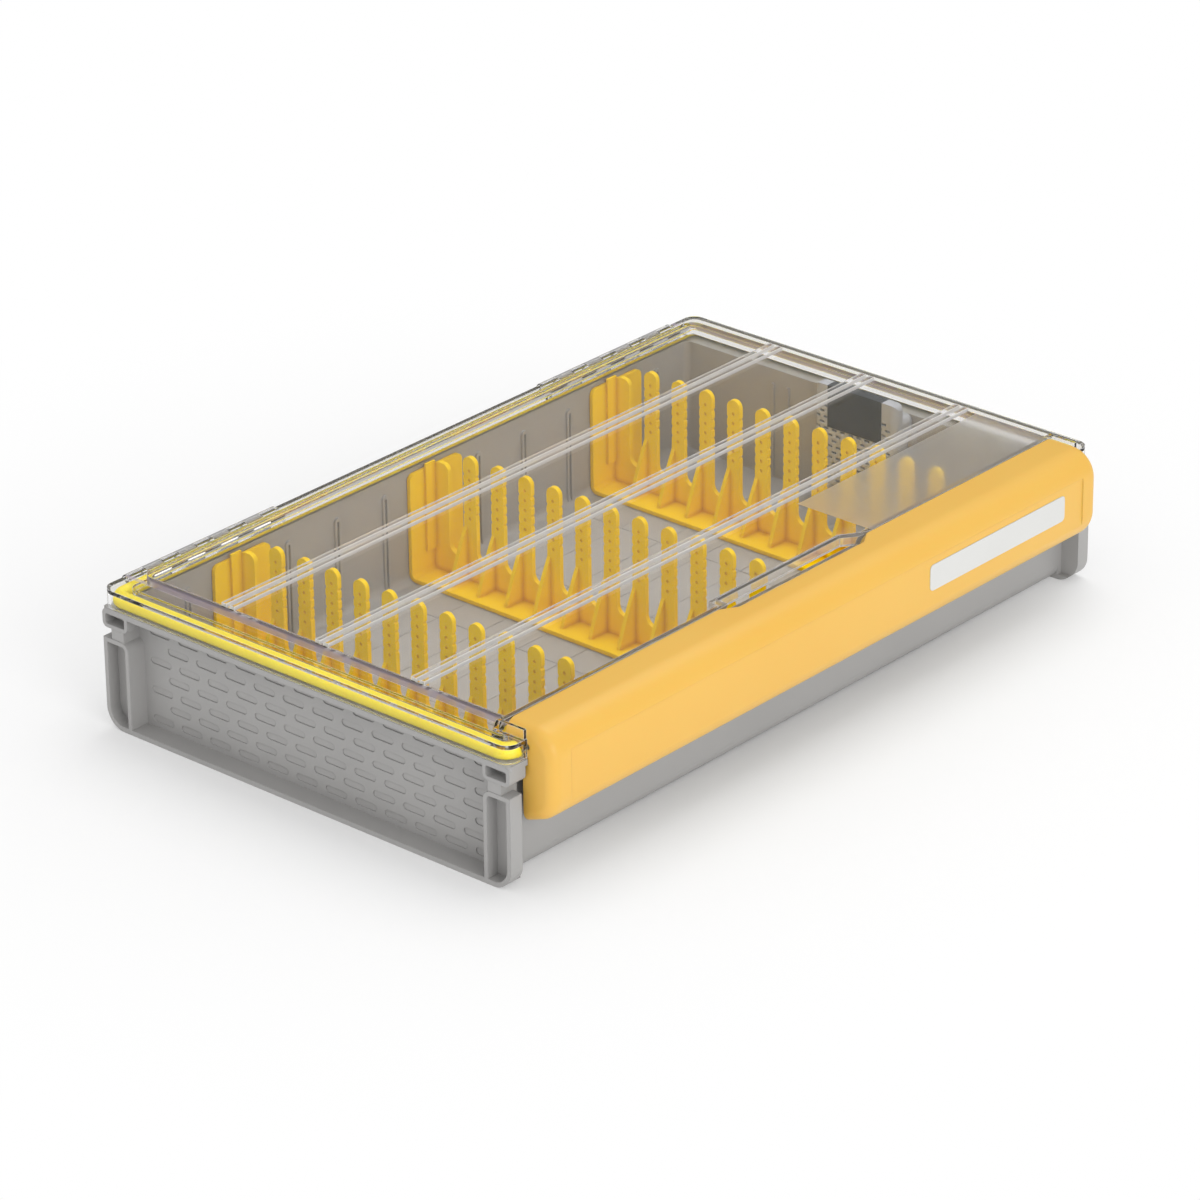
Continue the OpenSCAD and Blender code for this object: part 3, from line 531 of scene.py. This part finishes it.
def clearFinish(name, look):
    material, tree, shader = newMaterial(name)
    place = tree.nodes.new("ShaderNodeTexCoord")
    masks = lidMasks(tree, place, look)
    plug(tree, shader.inputs["Base Color"], look["tint"])
    shader.inputs["Transmission Weight"].default_value = 1
    shader.inputs["IOR"].default_value = look["ior"]
    shader.inputs["Specular IOR Level"].default_value = look["shine"]
    frosting = blend(tree, masks["patch"], look["roughness"], look["patchRoughness"])
    plug(tree, shader.inputs["Roughness"], frosting)
    ripple = noise(tree, place, look["rippleScale"], look["rippleDetail"])
    surface = bumped(tree, ripple, look["ripple"], look["rippleDepth"])
    plug(tree, shader.inputs["Normal"], surface.outputs["Normal"])
    # pale diffuse share: painted highlights, the end walls' painted reflection and the frosted patch's haze
    hazeAndHighlightShader = tree.nodes.new("ShaderNodeBsdfDiffuse")
    hue = blendColour(tree, masks["walls"], look["hazeAndHighlightColour"], look["wallReflectionColour"])
    plug(tree, hazeAndHighlightShader.inputs["Color"], hue)
    body = blendShader(tree, lidHazeAndHighlights(tree, place, masks, look), shader.outputs[0], hazeAndHighlightShader.outputs[0])
    # light for a shadow goes straight through
    path = tree.nodes.new("ShaderNodeLightPath")
    through = tree.nodes.new("ShaderNodeBsdfTransparent")
    plug(tree, through.inputs["Color"], look["shadow"])
    showSurface(tree, blendShader(tree, path.outputs["Is Shadow Ray"], body, through.outputs[0]))
    return material


def setMaterial(material, *names):
    for name in names:
        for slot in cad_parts[name].material_slots:
            slot.material = material


trayPlastic = opaqueFinish("trayPlastic", trayLook)
latchPlastic = opaqueFinish("latchPlastic", latchLook)
setMaterial(trayPlastic, "tray")
setMaterial(latchPlastic, "latch")
setMaterial(clearFinish("clearLid", lidLook), "lid")
setMaterial(opaqueFinish("gasketRubber", gasketLook), "gasket")
setMaterial(opaqueFinish("labelFilm", labelLook), "latch_label")
setMaterial(opaqueFinish("combPlastic", combLook), "comb_left", "comb_middle", "comb_right")
setMaterial(opaqueFinish("pinSteel", pinLook),
            "hinge_pin_left", "hinge_pin_right", "latch_pin_left", "latch_pin_right")
setMaterial(opaqueFinish("dividerPlastic", dividerLook), "divider_housing", "divider_back_cover")
setMaterial(opaqueFinish("tagFilm", tagLook), "divider_tag")
setMaterial(opaqueFinish("packFabric", packLook), "desiccant_pack")
print("finishes set")


# Mesh helpers
def newPiece(name, bm, material):
    bmesh.ops.recalc_face_normals(bm, faces=bm.faces)
    mesh = bpy.data.meshes.new(name)
    bm.to_mesh(mesh)
    bm.free()
    mesh.materials.append(material)
    piece = bpy.data.objects.new(name, mesh)
    scene.collection.objects.link(piece)
    return piece


# Skins rows of corners, each with the same count, and closes both ends
def skinRows(bm, rows):
    count = len(rows[0])
    for before, after in zip(rows, rows[1:]):
        for i in range(count):
            j = (i + 1) % count
            bm.faces.new((before[i], before[j], after[j], after[i]))
    bm.faces.new(rows[0])
    bm.faces.new(reversed(rows[-1]))


# A bar along x, skinned over closed loops of (y, z), each at its own x
def barAlongX(bm, loops):
    skinRows(bm, [[bm.verts.new((x, y, z)) for y, z in loop] for x, loop in loops])


# A prism on an (x, y) outline between two heights
def prismUpright(bm, outline, z0, z1):
    skinRows(bm, [[bm.verts.new((x, y, z)) for x, y in outline] for z in (z0, z1)])


def arc(cy, cz, radius, start, stop, steps):
    angles = [math.radians(start + (stop - start) * i / steps) for i in range(steps + 1)]
    return [(cy + radius * math.cos(angle), cz + radius * math.sin(angle)) for angle in angles]


def carve(piece, tool, how):
    change = piece.modifiers.new(how.lower(), "BOOLEAN")
    change.operation = how
    change.solver = "EXACT"
    change.use_self = how == "UNION"
    change.object = tool
    with bpy.context.temp_override(object=piece, active_object=piece, selected_objects=[piece]):
        bpy.ops.object.modifier_apply(modifier=change.name)
    bpy.data.objects.remove(tool)


# Latch bar: the CAD latch again, with the soft ends of the moulding
latchShape = {
    "topRadius": 12 * mm,
    "lowRadius": 13 * mm,
    "slope": 20.3,
    "arcSteps": 16,
    "wall": 2.2 * mm,
    "endWall": 2.5 * mm,
    "endRound": 5 * mm,
    "endSteps": 8,
    "backDepth": 7.9 * mm,
    "backStepUp": 1 * mm,
    "backStepIn": 0.8 * mm,
    "crookOut": 0.3 * mm,
    "crookDown": 1.5 * mm,
    "crookBack": 2.7 * mm,
    "crookLift": 0.05 * mm,
    "lipUp": 0.9 * mm,
    "recessIn": 10.5 * mm,
    "recessDeep": 0.5 * mm,
    "recessDown": 9.2 * mm,
    "ribs": 7,
    "ribWidth": 1.8 * mm,
    "ribFrom": 7.3 * mm,
    "ribTop": 3.2 * mm,
    "railThick": 2 * mm,
    "railHigh": 9 * mm,
    "railInset": 0.05 * mm,
    "railUnderLid": 1.9 * mm,
    "catchUnderLid": 3.1 * mm,
    "catchReach": 1.9 * mm,
    "catchHigh": 2.2 * mm,
    "catchRoot": 0.9 * mm,
    "bore": 1.25 * mm,
    "boreDeep": 10 * mm,
    "boreSides": 24,
    "scoopFrom": -39.5 * mm,
    "scoopTo": 38.5 * mm,
    "scoopDeep": 4.5 * mm,
    "cutOver": 1 * mm,
    "smoothAngle": 28,
}


# Places worked out from the CAD latch, its pin and the lid
def latchPlan(shape):
    low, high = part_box("latch")
    pinLow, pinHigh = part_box("latch_pin_left")
    slope = math.radians(shape["slope"])
    lowRadius = shape["lowRadius"]
    middle = high.y - shape["backDepth"]
    lowY = low.y + lowRadius
    drop = (middle - lowY + lowRadius * math.sin(slope)) * math.tan(slope)
    return {
        "low": low,
        "high": high,
        "middle": middle,
        "behind": high.y + shape["cutOver"],
        "pivotY": (pinLow.y + pinHigh.y) / 2,
        "pivotZ": (pinLow.z + pinHigh.z) / 2,
        "slope": slope,
        "topY": low.y + shape["topRadius"],
        "topZ": high.z - shape["topRadius"],
        "lowY": lowY,
        "lowZ": low.z + lowRadius * math.cos(slope) + drop,
        "ribTop": (pinLow.z + pinHigh.z) / 2 + shape["ribTop"],
        "firstRib": low.x + shape["ribFrom"],
    }


# Height of the sloping underside at a given y, moved in by the inset
def latchUnderside(shape, plan, y, inset):
    radius = shape["lowRadius"] - inset
    along = y - plan["lowY"] + radius * math.sin(plan["slope"])
    return plan["lowZ"] - radius * math.cos(plan["slope"]) - along * math.tan(plan["slope"])


# The front line from top to underside: two arcs, moved in by the inset
def latchFront(shape, plan, inset):
    steps = shape["arcSteps"]
    return (arc(plan["topY"], plan["topZ"], shape["topRadius"] - inset, 90, 180, steps)
            + arc(plan["lowY"], plan["lowZ"], shape["lowRadius"] - inset, 180, 270 - shape["slope"], steps))


# The whole cross-section, whose back line stays in place when the rest moves in
def latchSection(shape, plan, inset):
    middle, high = plan["middle"], plan["high"]
    backLine = [(middle, lidLow.z - shape["railUnderLid"]),
                (middle - shape["backStepIn"], lidLow.z + shape["backStepUp"]),
                (middle + shape["crookOut"], plan["pivotZ"] - shape["crookDown"]),
                (high.y - shape["crookBack"], plan["pivotZ"] + shape["crookLift"]),
                (high.y, plan["pivotZ"] + shape["lipUp"])]
    return ([(high.y, high.z - inset)] + latchFront(shape, plan, inset)
            + [(middle, latchUnderside(shape, plan, middle, inset))] + backLine)


def latchShell(shape, plan):
    low, high = plan["low"], plan["high"]
    radius = shape["endRound"]
    ends = []
    for i in range(shape["endSteps"] + 1):
        turn = math.radians(90 * i / shape["endSteps"])
        loop = latchSection(shape, plan, radius * (1 - math.sin(turn)))
        ends.append((radius * (1 - math.cos(turn)), loop))
    left = [(low.x + x, loop) for x, loop in ends]
    right = [(high.x - x, loop) for x, loop in reversed(ends)]
    bm = bmesh.new()
    barAlongX(bm, left + right)
    return newPiece("latchShell", bm, latchPlastic)


def latchHollow(shape, plan):
    low, high, behind = plan["low"], plan["high"], plan["behind"]
    wall, endWall = shape["wall"], shape["endWall"]
    section = [(behind, high.z - wall)] + latchFront(shape, plan, wall)
    section.append((behind, latchUnderside(shape, plan, behind, wall)))
    bm = bmesh.new()
    barAlongX(bm, [(low.x + endWall, section), (high.x - endWall, section)])
    return newPiece("latchHollow", bm, latchPlastic)


# Cross ribs, and the rail with its catch along the back
def latchInside(shape, plan):
    middle, ribTop, first = plan["middle"], plan["ribTop"], plan["firstRib"]
    buried = shape["wall"] / 2
    edge = [(y, z) for y, z in latchFront(shape, plan, buried) if z < ribTop]
    reach = math.sqrt((shape["topRadius"] - buried) ** 2 - (ribTop - plan["topZ"]) ** 2)
    rib = ([(middle, ribTop), (plan["topY"] - reach, ribTop)] + edge
           + [(middle, latchUnderside(shape, plan, middle, buried))])
    length = plan["high"].x - plan["low"].x
    step = (length - 2 * shape["ribFrom"] - shape["ribWidth"]) / (shape["ribs"] - 1)
    bm = bmesh.new()
    for i in range(shape["ribs"]):
        barAlongX(bm, [(first + i * step, rib), (first + i * step + shape["ribWidth"], rib)])
    railTop = lidLow.z - shape["railUnderLid"]
    catchTop = lidLow.z - shape["catchUnderLid"]
    inner, catch = middle - shape["railThick"], middle + shape["catchReach"]
    rail = [(middle, railTop), (inner, railTop), (inner, catchTop - shape["railHigh"]),
            (middle, catchTop - shape["railHigh"]),
            (middle, catchTop - 2 * shape["catchHigh"] + shape["catchRoot"]),
            (catch, catchTop - shape["catchHigh"] / 2), (catch, catchTop), (middle, catchTop)]
    barAlongX(bm, [(first + shape["railInset"], rail), (-first - shape["railInset"], rail)])
    return newPiece("latchInside", bm, latchPlastic)


# The long recess in front, the scoop behind the finger notch and the two pin bores
def latchCuts(shape, plan):
    low, high, over = plan["low"], plan["high"], shape["cutOver"]
    bm = bmesh.new()
    recessTop, recessY = high.z - shape["recessDown"], low.y + shape["recessDeep"]
    recess = [(low.y - over, low.z - over), (low.y - over, recessTop), (recessY, recessTop),
              (recessY, low.z - over)]
    barAlongX(bm, [(low.x + shape["recessIn"], recess), (high.x - shape["recessIn"], recess)])
    inner, flare = high.y - shape["scoopDeep"], 2 * shape["scoopDeep"]
    scoop = [(shape["scoopFrom"] - flare, plan["behind"]), (shape["scoopFrom"], inner),
             (shape["scoopTo"], inner), (shape["scoopTo"] + flare, plan["behind"])]
    prismUpright(bm, scoop, plan["ribTop"], high.z + over)
    sides = shape["boreSides"]
    bore = arc(plan["pivotY"], plan["pivotZ"], shape["bore"], 0, 360 - 360 / sides, sides - 1)
    barAlongX(bm, [(low.x - over, bore), (low.x + shape["boreDeep"], bore)])
    barAlongX(bm, [(high.x - shape["boreDeep"], bore), (high.x + over, bore)])
    return newPiece("latchCuts", bm, latchPlastic)


def makeLatch(shape):
    plan = latchPlan(shape)
    latch = latchShell(shape, plan)
    carve(latch, latchHollow(shape, plan), "DIFFERENCE")
    carve(latch, latchInside(shape, plan), "UNION")
    carve(latch, latchCuts(shape, plan), "DIFFERENCE")
    latch.data.shade_smooth()
    latch.data.set_sharp_from_angle(angle=math.radians(shape["smoothAngle"]))
    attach(latch, "latch")
    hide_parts("latch")


makeLatch(latchShape)
print("latch built")


# Fine raised lines on the tray's floor, under the combs
floorLines = {
    "high": 0.22 * mm,
    "wide": 0.5 * mm,
    "topShare": 0.6,
    "sunk": 0.1 * mm,
    "combGap": 0.3 * mm,
    "endDeep": 11.5 * mm,
    "margin": 7 * mm,
    "alongStep": 22.5 * mm,
    "acrossStep": 58.14 * mm,
}


# One low ridge with sloping sides between two points (x, y) at the floor's height
def floorRidge(bm, shape, floorZ, start, end, across):
    half = Vector(across) * shape["wide"] / 2
    topHalf = half * shape["topShare"]
    rise = Vector((0, 0, shape["high"] + shape["sunk"]))
    rows = []
    for x, y in (start, end):
        foot = Vector((x, y, floorZ - shape["sunk"]))
        corners = (foot - half, foot - topHalf + rise, foot + topHalf + rise, foot + half)
        rows.append([bm.verts.new(corner) for corner in corners])
    skinRows(bm, rows)


def makeFloorLines(shape):
    combLow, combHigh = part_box("comb_middle")
    floorZ = combLow.z - shape["combGap"]
    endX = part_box("tray")[1].x - shape["endDeep"] - shape["margin"]
    frontY, backY = combLow.y + shape["margin"], combHigh.y - shape["margin"]
    bm = bmesh.new()
    count = int((backY - frontY) / shape["alongStep"])
    for i in range(count + 1):
        y = (frontY + backY) / 2 + (i - count / 2) * shape["alongStep"]
        floorRidge(bm, shape, floorZ, (-endX, y), (endX, y), (0, 1, 0))
    count = int(2 * endX / shape["acrossStep"])
    for i in range(count + 1):
        x = (i - count / 2) * shape["acrossStep"]
        floorRidge(bm, shape, floorZ, (x, frontY), (x, backY), (1, 0, 0))
    lines = newPiece("floorLines", bm, trayPlastic)
    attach(lines, "tray")


makeFloorLines(floorLines)
print("floor lines built")
